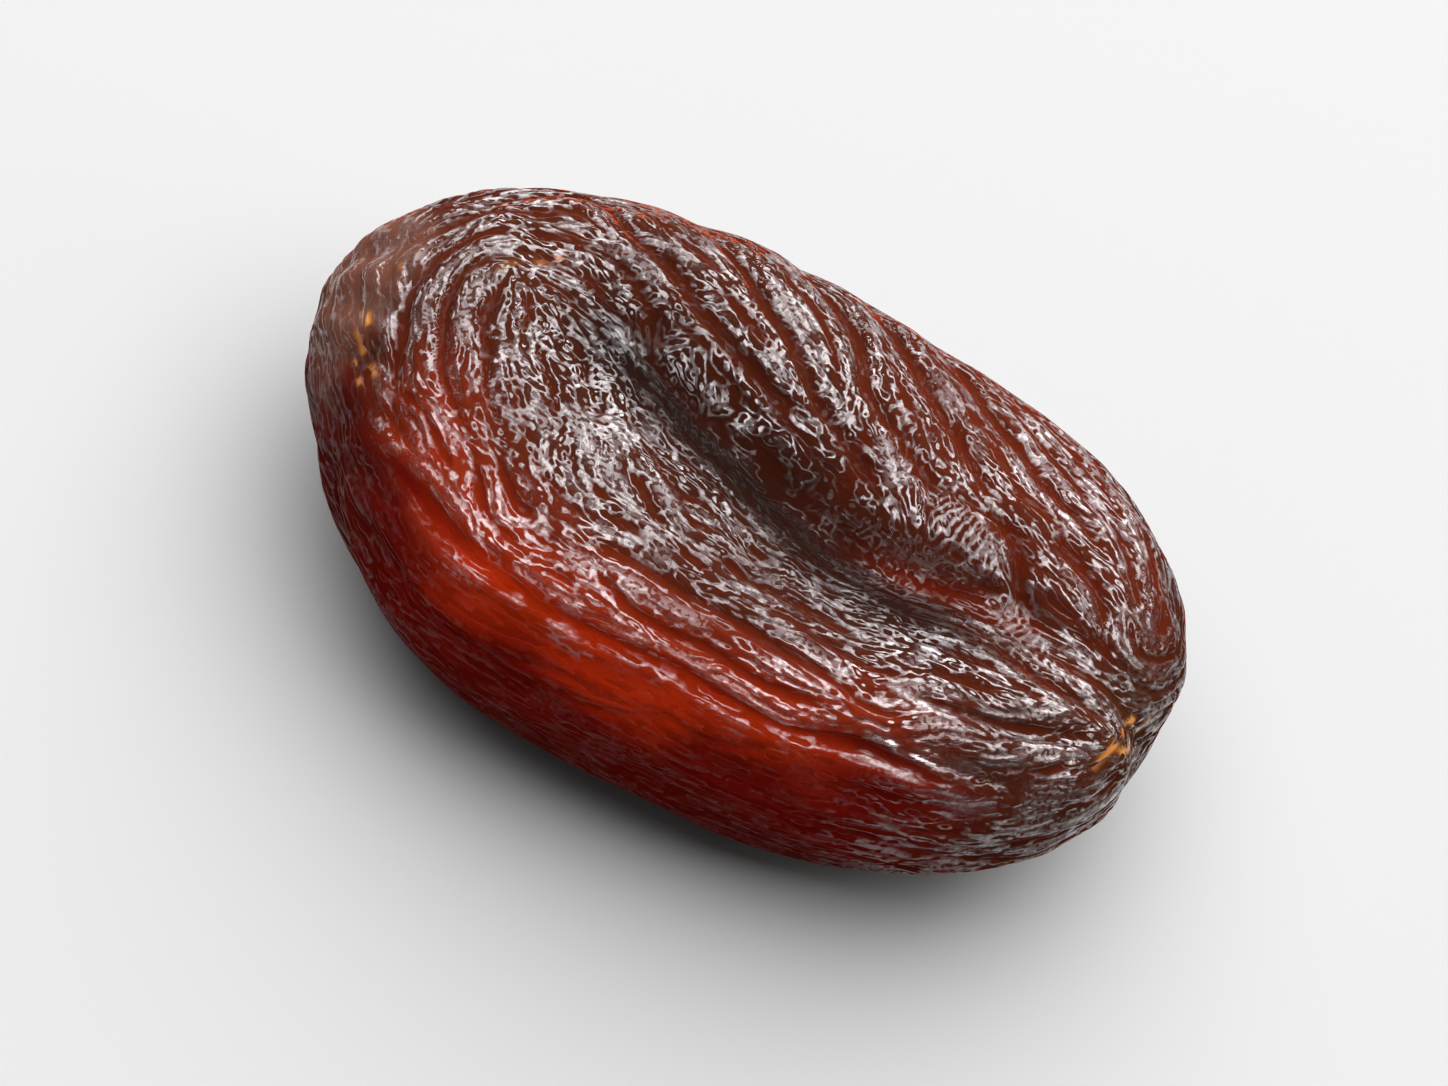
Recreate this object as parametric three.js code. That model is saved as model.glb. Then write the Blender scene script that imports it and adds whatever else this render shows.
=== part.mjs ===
// A whole apricot, stoned and dried until it went dark: one body, with a deep crease where it fell in.
// Millimetres, +Z up. The fruit lies on its back, the crease faces up, and +X points to the stem scar.
// The origin is under the middle of the fruit, on the surface that it lies on.
import * as THREE from "three";
import { mergeVertices } from "three/addons/utils/BufferGeometryUtils.js";

// Driving dimensions
const LENGTH = 42;
const WIDTH = 28.2;
const THICKNESS = 15;
const RIM_HEIGHT = 6.6;
const FLAT_SPOT_DEPTH = 0.25;
const END_LIFT = 0.6;

// How full the cross-section is above and below the rim: 2 is an ellipse, and more is squarer
const TOP_FULLNESS = 2.5;
const BACK_FULLNESS = 2.25;

// Folds that run lengthwise round the rim and the back, and how the spots that they are grown from are spread
const BACK_FOLDS = { spacing: 2.9, depth: 0.5, spots: 520, reach: 3.2, seed: 11 };

// Quads along, across and up the box that the skin starts from, and how flat that box is
const STEPS = { along: 50, across: 34, up: 15 };
const BOX_FLATNESS = 0.65;

// The outline seen from above, anticlockwise from the stem scar, in halves of the length and width
const OUTLINE = [
  [1.01, 0.07], [1.0, 0.27], [0.95, 0.46], [0.86, 0.63], [0.74, 0.77], [0.6, 0.865],
  [0.42, 0.925], [0.22, 0.965], [0.03, 0.98], [-0.16, 0.965], [-0.35, 0.92], [-0.54, 0.84],
  [-0.74, 0.71], [-0.9, 0.5], [-0.985, 0.27], [-1.0, 0.06], [-0.965, -0.13], [-0.9, -0.31],
  [-0.82, -0.49], [-0.73, -0.65], [-0.61, -0.8], [-0.48, -0.91], [-0.35, -0.965], [-0.16, -0.985],
  [0.1, -0.975], [0.32, -0.94], [0.51, -0.87], [0.67, -0.77], [0.81, -0.62], [0.92, -0.44],
  [0.98, -0.26], [1.0, -0.09],
];

// The crease from the blossom end to the stem scar, each point with the depth there
const CREASE = [
  { x: -17.5, y: 4.2, depth: 0 },
  { x: -13.0, y: 3.8, depth: 0.3 },
  { x: -10.0, y: 3.0, depth: 1.1 },
  { x: -7.0, y: 2.2, depth: 2.2 },
  { x: -4.0, y: 1.2, depth: 3.1 },
  { x: 0.0, y: -0.1, depth: 3.6 },
  { x: 4.0, y: -1.1, depth: 3.8 },
  { x: 7.5, y: -1.6, depth: 3.6 },
  { x: 11.0, y: -1.3, depth: 3.0 },
  { x: 15.0, y: -0.7, depth: 2.3 },
  { x: 18.5, y: -0.3, depth: 1.6 },
  { x: 21.0, y: -0.3, depth: 1.1 },
];

// The valleys between the folds of the face, seen from above, with the depth and half width of each group
const VALLEYS = [
  { depth: 0.9, width: 0.8, paths: [
    [[-13, 10], [-9, 6.7], [-5.5, 5], [-2.5, 3.3], [2, 2]],
    [[-10.5, 5], [-8, 4.3], [-6, 2.5]],
    [[-8, 11.5], [-4.5, 8], [-1.5, 5.5], [1, 3.5], [3, 1.8], [6, 1]],
    [[-2.5, 11.5], [1, 8], [3, 5], [5, 3.5], [7, 2], [7.8, -0.5]],
    [[1, 12], [3, 9], [6, 6], [8.5, 4], [9.5, 2.8]],
    [[8.5, 2.5], [11, 2], [12.5, 0.3], [14, -0.3]],
    [[4, 12], [7, 9], [10.5, 6], [13.5, 5], [15.5, 3.8]],
    [[12.5, 3], [15.5, 2.8], [17, 1.5]],
    [[12, -2], [15, -2.7], [18.5, -2.2]],
    [[9.5, -8.5], [11, -7.5], [14, -6.9], [16.5, -5.5], [18.8, -3.6]],
  ] },
  { depth: 0.5, width: 0.7, paths: [
    [[-5.5, 3.5], [-3, 2.3], [0, 1.3]],
    [[8, 11], [11, 7.6], [14, 6.5], [16.3, 5], [18.5, 2.5]],
    [[-16, 7], [-13.5, 5.9], [-9.5, 5.9]],
    [[-15, 4.5], [-11.5, 4.2], [-8, 3.4]],
    [[10.5, -10], [14, -9], [16.5, -7.6], [18.7, -4.8]],
    [[7, -11.5], [12, -10.6], [15.5, -9], [18.2, -6.2]],
    [[-5.5, -6], [-1.5, -6.6], [3, -6.5], [6.5, -6]],
    [[-7, -1], [-4.5, -3], [-2, -4.6], [0, -5]],
    [[-10.5, 0.5], [-8, -2.5], [-6.5, -5], [-6, -6.5]],
    [[-11.5, -1], [-10, -3], [-8, -5.5], [-6.3, -7.2]],
    [[-14.5, 1], [-12.5, -3.5], [-10, -7.5], [-7.5, -9.5], [-5, -10]],
    [[-16, 0.5], [-14.5, -3.5], [-11.5, -7.5], [-9, -10]],
    [[-17.5, -0.5], [-16.5, -4], [-14, -7.5], [-12, -9]],
    [[-17, 2.5], [-16.4, 5.5], [-14, 8.2], [-10, 9.3]],
    [[-15, 1.5], [-14.3, 2.8], [-12.9, 2.9], [-12, 1.6]],
    [[-5.5, -8.5], [-1, -9.1], [3, -9.3], [7, -9.4]],
    [[-2, -11], [2, -10.8], [7, -10.6]],
  ] },
];

const smooth = (low, high, value) => THREE.MathUtils.smoothstep(value, low, high);
const bump = (distance, width) => Math.exp(-((distance / width) ** 2));

// The outline as a radius for each direction seen from above
const outlineCurve = new THREE.CatmullRomCurve3(
  OUTLINE.map(([x, y]) => new THREE.Vector3((x * LENGTH) / 2, (y * WIDTH) / 2, 0)),
  true,
  "centripetal",
);
const outlineRing = outlineCurve.getPoints(480).slice(0, -1)
  .map(({ x, y }) => ({ turn: Math.atan2(y, x), radius: Math.hypot(x, y) }))
  .sort((a, b) => a.turn - b.turn);

function outlineRadius(turn) {
  const after = Math.max(outlineRing.findIndex((point) => point.turn >= turn), 0);
  const before = (after + outlineRing.length - 1) % outlineRing.length;
  const { turn: start, radius } = outlineRing[before];
  const gap = THREE.MathUtils.euclideanModulo(outlineRing[after].turn - start, 2 * Math.PI);
  const step = THREE.MathUtils.euclideanModulo(turn - start, 2 * Math.PI);
  return THREE.MathUtils.lerp(radius, outlineRing[after].radius, step / gap);
}

// The crease as a curve across the fruit: its y, depth and slope at x
const creaseCurve = new THREE.CatmullRomCurve3(
  CREASE.map(({ x, y, depth }) => new THREE.Vector3(x, y, depth)),
  false,
  "centripetal",
).getPoints(200);

function creaseAt(x) {
  const found = creaseCurve.findIndex((point) => point.x >= x);
  const after = found < 0 ? creaseCurve.length - 1 : Math.max(found, 1);
  const from = creaseCurve[after - 1];
  const to = creaseCurve[after];
  const share = THREE.MathUtils.clamp((x - from.x) / (to.x - from.x), 0, 1);
  return {
    y: THREE.MathUtils.lerp(from.y, to.y, share),
    depth: THREE.MathUtils.lerp(from.z, to.z, share),
    slope: (to.y - from.y) / (to.x - from.x),
  };
}

// How far the face falls in beside the crease: a steep wall on the far side, a long slope on the near side
function creaseFall(x, y) {
  const crease = creaseAt(x);
  const distance = (y - crease.y) / Math.hypot(1, crease.slope);
  if (distance > 0) {
    return crease.depth * (0.6 * Math.exp(-((distance / 0.95) ** 1.4)) + 0.4 * bump(distance, 3.6));
  }
  return crease.depth * (0.62 * bump(distance, 5.5) + 0.38 * Math.exp(distance / 1.1));
}

// Where a unit direction lands on the fruit before it is folded
function plainPoint(direction) {
  const { x: dx, y: dy, z: dz } = direction;
  const fullness = dz > 0 ? TOP_FULLNESS : BACK_FULLNESS;
  const turn = Math.atan2(dy, dx);
  const radius = outlineRadius(turn) * Math.hypot(dx, dy) ** (2 / fullness);
  const rise = Math.sign(dz) * Math.abs(dz) ** (2 / fullness);
  const point = new THREE.Vector3(radius * Math.cos(turn), radius * Math.sin(turn), 0);
  // the rows of the net are drawn over, so that the middle row runs along the crease
  point.y += creaseAt(point.x).y * Math.abs(dz) ** 3;
  if (dz > 0) {
    point.z = RIM_HEIGHT + (THICKNESS - RIM_HEIGHT) * rise;
    point.z -= smooth(0.05, 0.6, dz) * creaseFall(point.x, point.y);
    point.z -= 0.7 * bump(Math.hypot((point.x - 4) / 1.5, point.y + 5.5), 3);
  } else {
    point.z = RIM_HEIGHT + (RIM_HEIGHT + FLAT_SPOT_DEPTH) * rise;
  }
  // the stem end is pulled in at its scar, and both ends curl up a little
  point.x -= 0.9 * bump(Math.hypot(point.y + 0.5, point.z - 8.5), 2.2) * smooth(15, 20, point.x);
  point.z += END_LIFT * (point.x / (LENGTH / 2)) ** 2;
  return point;
}

// Each valley as short straight pieces, with how deep it is at each: it fades at both ends
const valleyPieces = VALLEYS.flatMap(({ depth, width, paths }) => paths.flatMap((path) => {
  const curve = new THREE.CatmullRomCurve3(
    path.map(([x, y]) => new THREE.Vector3(x, y, 0)),
    false,
    "centripetal",
  );
  const steps = Math.ceil(curve.getLength() / 0.7);
  const points = curve.getSpacedPoints(steps);
  return points.slice(1).map((to, i) => {
    const share = (i + 0.5) / steps;
    const fade = smooth(0, 0.22, share) * smooth(1, 0.8, share);
    return { from: points[i], to, width, depth: depth * (0.35 + 0.65 * fade) };
  });
}));

function valleyFall(x, y) {
  let deepest = 0;
  for (const { from, to, width, depth } of valleyPieces) {
    if (Math.abs(x - from.x) < 3 && Math.abs(y - from.y) < 3) {
      const runX = to.x - from.x;
      const runY = to.y - from.y;
      const share = ((x - from.x) * runX + (y - from.y) * runY) / (runX * runX + runY * runY);
      const held = THREE.MathUtils.clamp(share, 0, 1);
      const distance = Math.hypot(x - from.x - held * runX, y - from.y - held * runY);
      deepest = Math.max(deepest, depth * bump(distance, width));
    }
  }
  return deepest;
}

function outwardAt(direction) {
  const point = plainPoint(direction);
  const side = new THREE.Vector3().crossVectors(direction, new THREE.Vector3(0.3, 0.2, 0.93)).normalize();
  const other = new THREE.Vector3().crossVectors(direction, side);
  const alongSide = plainPoint(direction.clone().addScaledVector(side, 1e-3).normalize()).sub(point);
  const alongOther = plainPoint(direction.clone().addScaledVector(other, 1e-3).normalize()).sub(point);
  const outward = new THREE.Vector3().crossVectors(alongSide, alongOther).normalize();
  return outward.dot(direction) < 0 ? outward.negate() : outward;
}

// Numbers between 0 and 1 that come out the same each time
function seededNumbers(seed) {
  let state = seed;
  return () => {
    state = (Math.imul(state, 1664525) + 1013904223) >>> 0;
    return state / 4294967296;
  };
}

// Each spot on the skin starts a short run of even waves across the length of the fruit.
// Where runs meet they join up, so the folds wander, fork and end as they do on a dried skin.
const random = seededNumbers(BACK_FOLDS.seed);
const foldSpots = Array.from({ length: BACK_FOLDS.spots }, () => {
  const height = 2 * random() - 1;
  const turn = 2 * Math.PI * random();
  const level = Math.sqrt(1 - height * height);
  const direction = new THREE.Vector3(level * Math.cos(turn), level * Math.sin(turn), height);
  const outward = outwardAt(direction);
  const across = new THREE.Vector3(1, 0.35 * (random() - 0.5), 0).cross(outward).normalize();
  return { centre: plainPoint(direction), across, start: 2 * Math.PI * random() };
});

function backFall(point) {
  let even = 0;
  let odd = 0;
  for (const { centre, across, start } of foldSpots) {
    const away = point.clone().sub(centre);
    if (away.lengthSq() < (2.5 * BACK_FOLDS.reach) ** 2) {
      const phase = (2 * Math.PI * away.dot(across)) / BACK_FOLDS.spacing + start;
      const weight = bump(away.length(), BACK_FOLDS.reach);
      even += weight * Math.cos(phase);
      odd += weight * Math.sin(phase);
    }
  }
  // the blossom end is drawn tight and stays smoother
  const tight = 1 - 0.55 * smooth(-13, -18, point.x);
  return BACK_FOLDS.depth * tight * (0.5 + 0.5 * Math.cos(Math.atan2(odd, even))) ** 1.6;
}

function skinPoint(direction) {
  const point = plainPoint(direction);
  const outward = outwardAt(direction);
  const face = smooth(0.38, 0.6, direction.z);
  const clearOfFlat = smooth(0.9, 1.3, Math.hypot(point.x / 7, point.y / 5));
  const back = (1 - smooth(0.42, 0.62, direction.z)) * (outward.z < 0 ? clearOfFlat : 1);
  const fall = face * valleyFall(point.x, point.y) + back * backFall(point);
  point.addScaledVector(outward, -fall);
  point.z = Math.max(point.z, 0);
  return point;
}

// The skin is a box bent into a ball and moved to shape. Its rows lie closest along the crease.
function driedApricot() {
  const box = new THREE.BoxGeometry(2, 2, 2, STEPS.along, STEPS.across, STEPS.up);
  box.deleteAttribute("normal");
  box.deleteAttribute("uv");
  const skin = mergeVertices(box);
  const position = skin.getAttribute("position");
  for (let i = 0; i < position.count; i += 1) {
    const height = 2 * ((position.getZ(i) + 1) / 2) ** 0.9 - 1;
    const across = position.getY(i) * (0.7 + 0.3 * position.getY(i) ** 2);
    const direction = new THREE.Vector3(
      Math.tan(position.getX(i) * (Math.PI / 4)),
      Math.tan(across * (Math.PI / 4)),
      Math.tan(height * (Math.PI / 4)) * BOX_FLATNESS,
    );
    const point = skinPoint(direction.normalize());
    position.setXYZ(i, point.x, point.y, point.z);
  }
  // the origin goes under the middle of the finished fruit
  skin.computeBoundingBox();
  const middle = skin.boundingBox.getCenter(new THREE.Vector3());
  skin.translate(-middle.x, -middle.y, 0);
  skin.computeVertexNormals();
  return skin;
}

const flesh = new THREE.MeshStandardMaterial({
  name: "dried flesh",
  color: 0x5a2014,
  roughness: 0.42,
  metalness: 0,
});

const apricot = new THREE.Mesh(driedApricot(), flesh);
apricot.name = "dried_apricot";

const fruit = new THREE.Group();
fruit.add(apricot);

export default fruit;
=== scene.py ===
import math

import bpy
import numpy as np
from mathutils import Matrix, Vector, kdtree


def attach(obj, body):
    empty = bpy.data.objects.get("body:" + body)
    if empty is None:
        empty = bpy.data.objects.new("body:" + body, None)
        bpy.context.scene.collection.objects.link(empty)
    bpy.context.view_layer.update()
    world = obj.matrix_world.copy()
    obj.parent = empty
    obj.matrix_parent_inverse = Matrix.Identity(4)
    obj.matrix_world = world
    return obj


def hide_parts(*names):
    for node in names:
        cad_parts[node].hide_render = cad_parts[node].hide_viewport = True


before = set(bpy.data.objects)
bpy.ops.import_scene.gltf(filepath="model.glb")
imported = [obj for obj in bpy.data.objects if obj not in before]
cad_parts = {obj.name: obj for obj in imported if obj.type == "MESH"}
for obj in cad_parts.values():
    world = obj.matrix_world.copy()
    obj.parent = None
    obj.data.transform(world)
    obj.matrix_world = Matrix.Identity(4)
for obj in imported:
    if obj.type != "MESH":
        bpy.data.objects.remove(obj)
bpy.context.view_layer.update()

# The fruit is shaped in millimetres, as a grower would measure it, and Blender holds it in metres
MM = 0.001

# Camera: the angle at which the fruit is seen, and how it is framed
ELEVATION = 50
ROLL = 28
DISTANCE = 0.40
LENS = 226
AIM = (0.0, 0.0, 0.0065)
NEAR_CLIP = 0.01

# Softboxes: name, place, width and height in metres, power in watts, and tint
SOFTBOXES = [
    ("overhead softbox", (-0.04, 0.16, 0.52), (1.10, 1.25), 16.5, (1.0, 0.95, 0.965)),
    ("rear softbox", (-0.05, 0.62, 0.20), (0.90, 0.35), 2.5, (1.0, 0.95, 0.965)),
    ("side softbox", (0.55, 0.05, 0.35), (0.30, 0.30), 0.5, (1.0, 0.98, 0.95)),
    ("front fill", (-0.25, -0.60, 0.30), (0.50, 0.40), 0.25, (1.0, 0.97, 0.94)),
]
ROOM_LIGHT = 0.07

# The floor in metres: its width, how far it lies below the fruit, and its pale paper
FLOOR_WIDTH = 4
FLOOR_GAP = 0.00002
PAPER_COLOUR = (0.345, 0.36, 0.358, 1)
PAPER_ROUGHNESS = 0.8

# The fruit's own measures, in millimetres, as are the lines, widths and depths further down
HALF_LENGTH = 21
RIM_HEIGHT = 6.6
END_LIFT = 0.6

# Where the dark face turns over into the red rim, seen from above: an ellipse about this middle
FACE_MIDDLE = (0.7, 0.0)
FACE_REACH = (20.3, 12.75)

# The crease from the blossom end to the stem scar, seen from above
CREASE = [
    (-13, 3.8), (-10, 3.0), (-7, 2.2), (-4, 1.2), (0, -0.1), (4, -1.1),
    (7.5, -1.6), (11, -1.3), (15, -0.7), (18.5, -0.3), (21, -0.3),
]

# The valleys between the folds of the face, seen from above: first the deep ones
DEEP_VALLEYS = [
    [(-13, 10), (-9, 6.7), (-5.5, 5), (-2.5, 3.3), (2, 2)],
    [(-10.5, 5), (-8, 4.3), (-6, 2.5)],
    [(-8, 11.5), (-4.5, 8), (-1.5, 5.5), (1, 3.5), (3, 1.8), (6, 1)],
    [(-2.5, 11.5), (1, 8), (3, 5), (5, 3.5), (7, 2), (7.8, -0.5)],
    [(1, 12), (3, 9), (6, 6), (8.5, 4), (9.5, 2.8)],
    [(8.5, 2.5), (11, 2), (12.5, 0.3), (14, -0.3)],
    [(4, 12), (7, 9), (10.5, 6), (13.5, 5), (15.5, 3.8)],
    [(12.5, 3), (15.5, 2.8), (17, 1.5)],
    [(12, -2), (15, -2.7), (18.5, -2.2)],
]
SHALLOW_VALLEYS = [
    [(9.5, -8.5), (11, -7.5), (14, -6.9), (16.5, -5.5), (18.8, -3.6)],
    [(-5.5, 3.5), (-3, 2.3), (0, 1.3)],
    [(8, 11), (11, 7.6), (14, 6.5), (16.3, 5), (18.5, 2.5)],
    [(-16, 7), (-13.5, 5.9), (-9.5, 5.9)],
    [(-15, 4.5), (-11.5, 4.2), (-8, 3.4)],
    [(10.5, -10), (14, -9), (16.5, -7.6), (18.7, -4.8)],
    [(7, -11.5), (12, -10.6), (15.5, -9), (18.2, -6.2)],
    [(-5.5, -6), (-1.5, -6.6), (3, -6.5), (6.5, -6)],
    [(-7, -1), (-4.5, -3), (-2, -4.6), (0, -5)],
    [(-10.5, 0.5), (-8, -2.5), (-6.5, -5), (-6, -6.5)],
    [(-11.5, -1), (-10, -3), (-8, -5.5), (-6.3, -7.2)],
    [(-14.5, 1), (-12.5, -3.5), (-10, -7.5), (-7.5, -9.5), (-5, -10)],
    [(-16, 0.5), (-14.5, -3.5), (-11.5, -7.5), (-9, -10)],
    [(-17.5, -0.5), (-16.5, -4), (-14, -7.5), (-12, -9)],
    [(-17, 2.5), (-16.4, 5.5), (-14, 8.2), (-10, 9.3)],
    [(-15, 1.5), (-14.3, 2.8), (-12.9, 2.9), (-12, 1.6)],
    [(-5.5, -8.5), (-1, -9.1), (3, -9.3), (7, -9.4)],
    [(-2, -11), (2, -10.8), (7, -10.6)],
]

# The near shoulder, in x, y and z: the smooth band below the edge of the face, the fold under it,
# and the long grooves of the red rim
SHOULDER_BAND = [
    (-14.3, -8.0, 10.4), (-12.4, -9.4, 10.9), (-10.4, -10.6, 11.0), (-8, -11.5, 11.2),
    (-5.2, -12.05, 11.25), (-2.8, -12.05, 11.3), (1, -11.85, 11.55), (3.3, -12.0, 11.4),
    (6, -11.8, 11.2), (9.4, -10.55, 11.4), (12.3, -10.0, 10.85),
]
SHOULDER_FOLD = [
    (-12.5, -9.9, 10.4), (-10.4, -11.3, 10.5), (-8.3, -11.9, 10.8), (-5.3, -12.3, 11.0),
    (-3.2, -12.4, 10.8), (-0.5, -12.1, 11.2), (1, -12.2, 11.2), (3.1, -12.3, 11.1),
    (6, -12.0, 11.0), (9.5, -10.9, 11.1), (12.4, -10.3, 10.6),
]
RIM_GROOVES = [
    [(-15.1, -9.2, 7.9), (-12.2, -11.2, 8.3), (-9.5, -12.8, 8.2), (-7, -13.3, 8.5), (-4.4, -13.3, 9.4),
     (-1.6, -13.2, 9.5), (1.4, -13.0, 10.0)],
    [(-3.2, -13.6, 8.8), (-1.3, -13.4, 8.9), (1.5, -13.1, 9.9), (3.2, -13.0, 9.8), (5.5, -12.6, 10.4)],
]

# Broad islands with ribs across them like a fan, seen from above: the middle, the way along, and the
# half length and half width
FANS = [((8.9, 0.9), (0.96, -0.27), 1.9, 0.95), ((13.7, -1.2), (0.97, -0.22), 1.6, 0.8)]
RIB_SPACING = 0.42

# Long polished fold edges near the right end, seen from above
POLISHED_EDGES = [
    [(9.4, -8.0), (11.2, -7.7), (13.2, -6.6), (14.9, -5.5)],
    [(14.2, -8.1), (15.6, -7.2), (17.0, -5.9), (18.0, -4.4)],
    [(9.2, -10.2), (11.0, -9.9), (12.5, -9.4), (13.8, -8.7)],
    [(9.5, -10.9), (11.0, -10.7), (12.4, -10.3)],
    [(13.1, -10.1), (14.4, -9.6), (15.5, -8.9)],
]

# Dry golden fibres: flecks at the blossom end, an arc in the whirl and strands beside the stem scar
FIBRES = [
    [(-19.1, -0.4, 10.7), (-18.7, -1.2, 10.7), (-18.2, -2.3, 11.1)],
    [(-18.3, -2.7, 10.6), (-17.7, -3.4, 10.6)],
    [(-17.2, -4.1, 10.7), (-16.6, -4.5, 10.9)],
    [(-17.8, -3.7, 10.2), (-17.2, -4.9, 10.3)],
    [(-18.3, 1.1, 12.0), (-17.8, 0.5, 12.2)],
    [(-18.1, 3.6, 11.9), (-17.7, 3.2, 12.2)],
    [(-14.4, 1.5, 13.3), (-13.9, 2.4, 13.5), (-13.5, 3.2, 13.3), (-12.7, 3.4, 13.5), (-12.2, 4.0, 13.6)],
    [(18.8, -4.6, 10.4), (19.0, -3.4, 10.4), (19.1, -2.6, 10.4), (19.4, -0.6, 9.7), (19.7, 0.5, 9.7)],
    [(19.0, -3.2, 10.3), (19.7, -2.6, 9.9), (19.8, -1, 9.2), (20.1, 0.3, 8.8), (20.1, 1.0, 9.5)],
]

# How far to each side these lines fade out, and how far the chain of beads runs from the band
BAND_WIDTH = 0.42
GROOVE_WIDTH = 0.22
CHANNEL_WIDTH = 0.37
FIBRE_WIDTH = 0.16
EDGE_WIDTH = 0.15
BEAD_WIDTH = 0.13
BEADS_FROM_BAND = 0.62

# Marks on the face, seen from above: the round stem scar, and the dull dish in front of the crease,
# which is this many times longer than wide
SCAR_MIDDLE = (20, -1)
SCAR_REACH = 2.6
DISH_MIDDLE = (4, -6.2)
DISH_REACH = 2.3
DISH_STRETCH = 1.6

# The skin shrinks into raised islands with smooth channels between them, and the islands into
# wrinkles: the distance from one to the next, how strictly they follow the folds, on the face and how
# much more round the sides, how deep they are, and their seeds
ISLANDS = {"spacing": 1.6, "lean": 0.35, "lean on sides": 0.35, "depth": 0.10, "swell": 0.10, "seed": 5}
WRINKLES = {"spacing": 0.62, "lean": 0.15, "lean on sides": 0.5, "depth": 0.1, "seed": 8}
CLEFT = {"depth": 0.2, "width": 0.35}
BAND_DEPTH = 0.14
GROOVE_DEPTH = 0.16
FOLD_HEIGHT = 0.12

# How ridges grow: the width of a place's pull as a share of their spacing, the width of its push and
# how far it is felt as shares of the one before, how much longer both are along the folds, what a
# strict lean adds to each, how sharply places fall to one side, and the number of rounds
GROWTH = {
    "pull": 0.175, "push": 1.6, "felt": 2.3, "length": 1.15, "pull lean": 0.75, "push lean": 0.05,
    "sharp": 9, "rounds": 18,
}

# How much a valley turns the wrinkles beside it, how far off, and where its pull ends
DEEP_PULL = 1.0
SHALLOW_PULL = 0.45
CREASE_PULL = 0.5
PULL_WIDTH = 1.5
PULL_REACH = 3.5

# The distance to a line or a valley where none is near, and the steps in which the curves are cut
FAR_FROM_LINE = 3.0
FAR_FROM_VALLEY = 9.0
LINE_STEP = 0.4
VALLEY_STEP = 0.5
CREASE_STEP = 0.3

# Two corners of the solid's skin that are closer than this are one
JOINED_WITHIN = 0.002

# Soft patches that vary the skin: about how wide each kind is, and its seed
PATCHES = {
    "island swell": (3.0, 6),
    "wrinkle depth": (3.0, 9),
    "face edge": (5.0, 31),
    "wander along": (3.0, 32),
    "wander across": (3.0, 33),
    "channel ends": (2.0, 34),
    "tip edge": (2.5, 35),
    "crease wall": (2.0, 36),
    "light edge": (3.0, 37),
    "strands": (0.8, 38),
    "turns": (1.5, 39),
    "island share": (4.0, 40),
    "fold": (1.2, 41),
    "beads": (0.6, 42),
    "fan edge": (0.8, 43),
    "clouds": (4.0, 44),
    "small clouds": (1.5, 45),
    "coarse strokes": (1.3, 46),
    "pads": (2.0, 47),
    "back": (2.5, 48),
    "fold beads": (1.1, 50),
    "fold wave": (0.8, 51),
}

# Patches are a sum of waves: how many, how long next to the patches' width, and the sum that is full
PATCH_WAVES = 24
WAVE_LENGTHS = (1.2, 3.2)
WAVE_SUM = 6

# Streaks are noise, at so many waves to a metre, drawn out along the wrinkles by samples a step apart,
# this many to each side. The grain of the skin is finer noise
STREAK_SCALE = 3000
STREAK_STEP = 0.00014
STREAK_STEPS = 3
GRAIN_SCALE = 4700

# The values at which strokes, ribs, fine lines, grain and golden strands begin, and are full
STROKE_EDGES = (0.50, 0.80)
RIB_EDGES = (0.4, 0.85)
LINE_EDGES = (0.455, 0.48)
GRAIN_EDGES = (0.43, 0.52)
STRAND_EDGES = (0.44, 0.52)

# The strokes follow the levels of a made-up height: how much of each thing goes into it
LOOPS = {"streak": 10.0, "ridge": 1.2, "level": 0.5, "shift": 0.4}

# The same for the ribs of a fan: one rise and one fall for each rib, swayed by the streaks
RIBS = {"rise and fall": 2.0, "streak": 4.0}

# Gloss: from a groove to a ridge, between the grains and on them, and the same on the shiny pads
RIDGE_GLOSS = (0.25, 1.0)
GRAIN_GLOSS = (0.55, 1.0)
PAD_GLOSS = (0.05, 0.5)

# Colours of the skin as they look on a screen, 0 to 255
COLOURS = {
    "island": (58, 27, 18),
    # dark island and dark channel are painted shade beside the crease, and also colour the darker far side
    "dark island": (24, 16, 13),
    # the glowing colours are a painted glow of light coming through the red flesh, and lit rim a brighter
    # painted glow just below the face
    "glowing island": (118, 36, 16),
    "channel": (66, 24, 12),
    "dark channel": (26, 12, 8),
    "glowing channel": (116, 29, 8),
    "rim": (64, 14, 10),
    "glowing rim": (86, 10, 5),
    "lit rim": (142, 34, 9),
    "rim streak": (26, 5, 4),
    "tip": (88, 55, 44),
    "scar": (50, 27, 14),
    "fibre": (190, 125, 58),
}

# Finish: the roughness of dull and of polished skin, and the shine of its sugary coat
DULL_ROUGHNESS = 0.5
POLISHED_ROUGHNESS = 0.22
PLAIN_SHINE = 0.25
COAT_ROUGHNESS = 0.13
COAT_IOR = 2.2

# The height of the fine lines in metres, how high the grain is next to them, and their share on the rim
LINE_HEIGHT = 0.00005
GRAIN_SHARE = 0.08
RIM_SHARE = 0.5

# Light spreads through the flesh, red the furthest: its share, how far each colour goes, and the scale
FLESH_LIGHT = 0.5
FLESH_SPREAD = (1.0, 0.22, 0.08)
FLESH_SCALE = 0.0016


def smooth(low, high, value):
    """0 below low, 1 above high and an even rise between them; it falls where low is above high."""
    share = np.clip((value - low) / (high - low), 0, 1)
    return share * share * (3 - 2 * share)


def bump(distance, width):
    """1 at no distance, fading out to either side."""
    return np.exp(-((distance / width) ** 2))


def unit(vectors):
    return vectors / np.maximum(np.linalg.norm(vectors, axis=1, keepdims=True), 1e-9)


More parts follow.
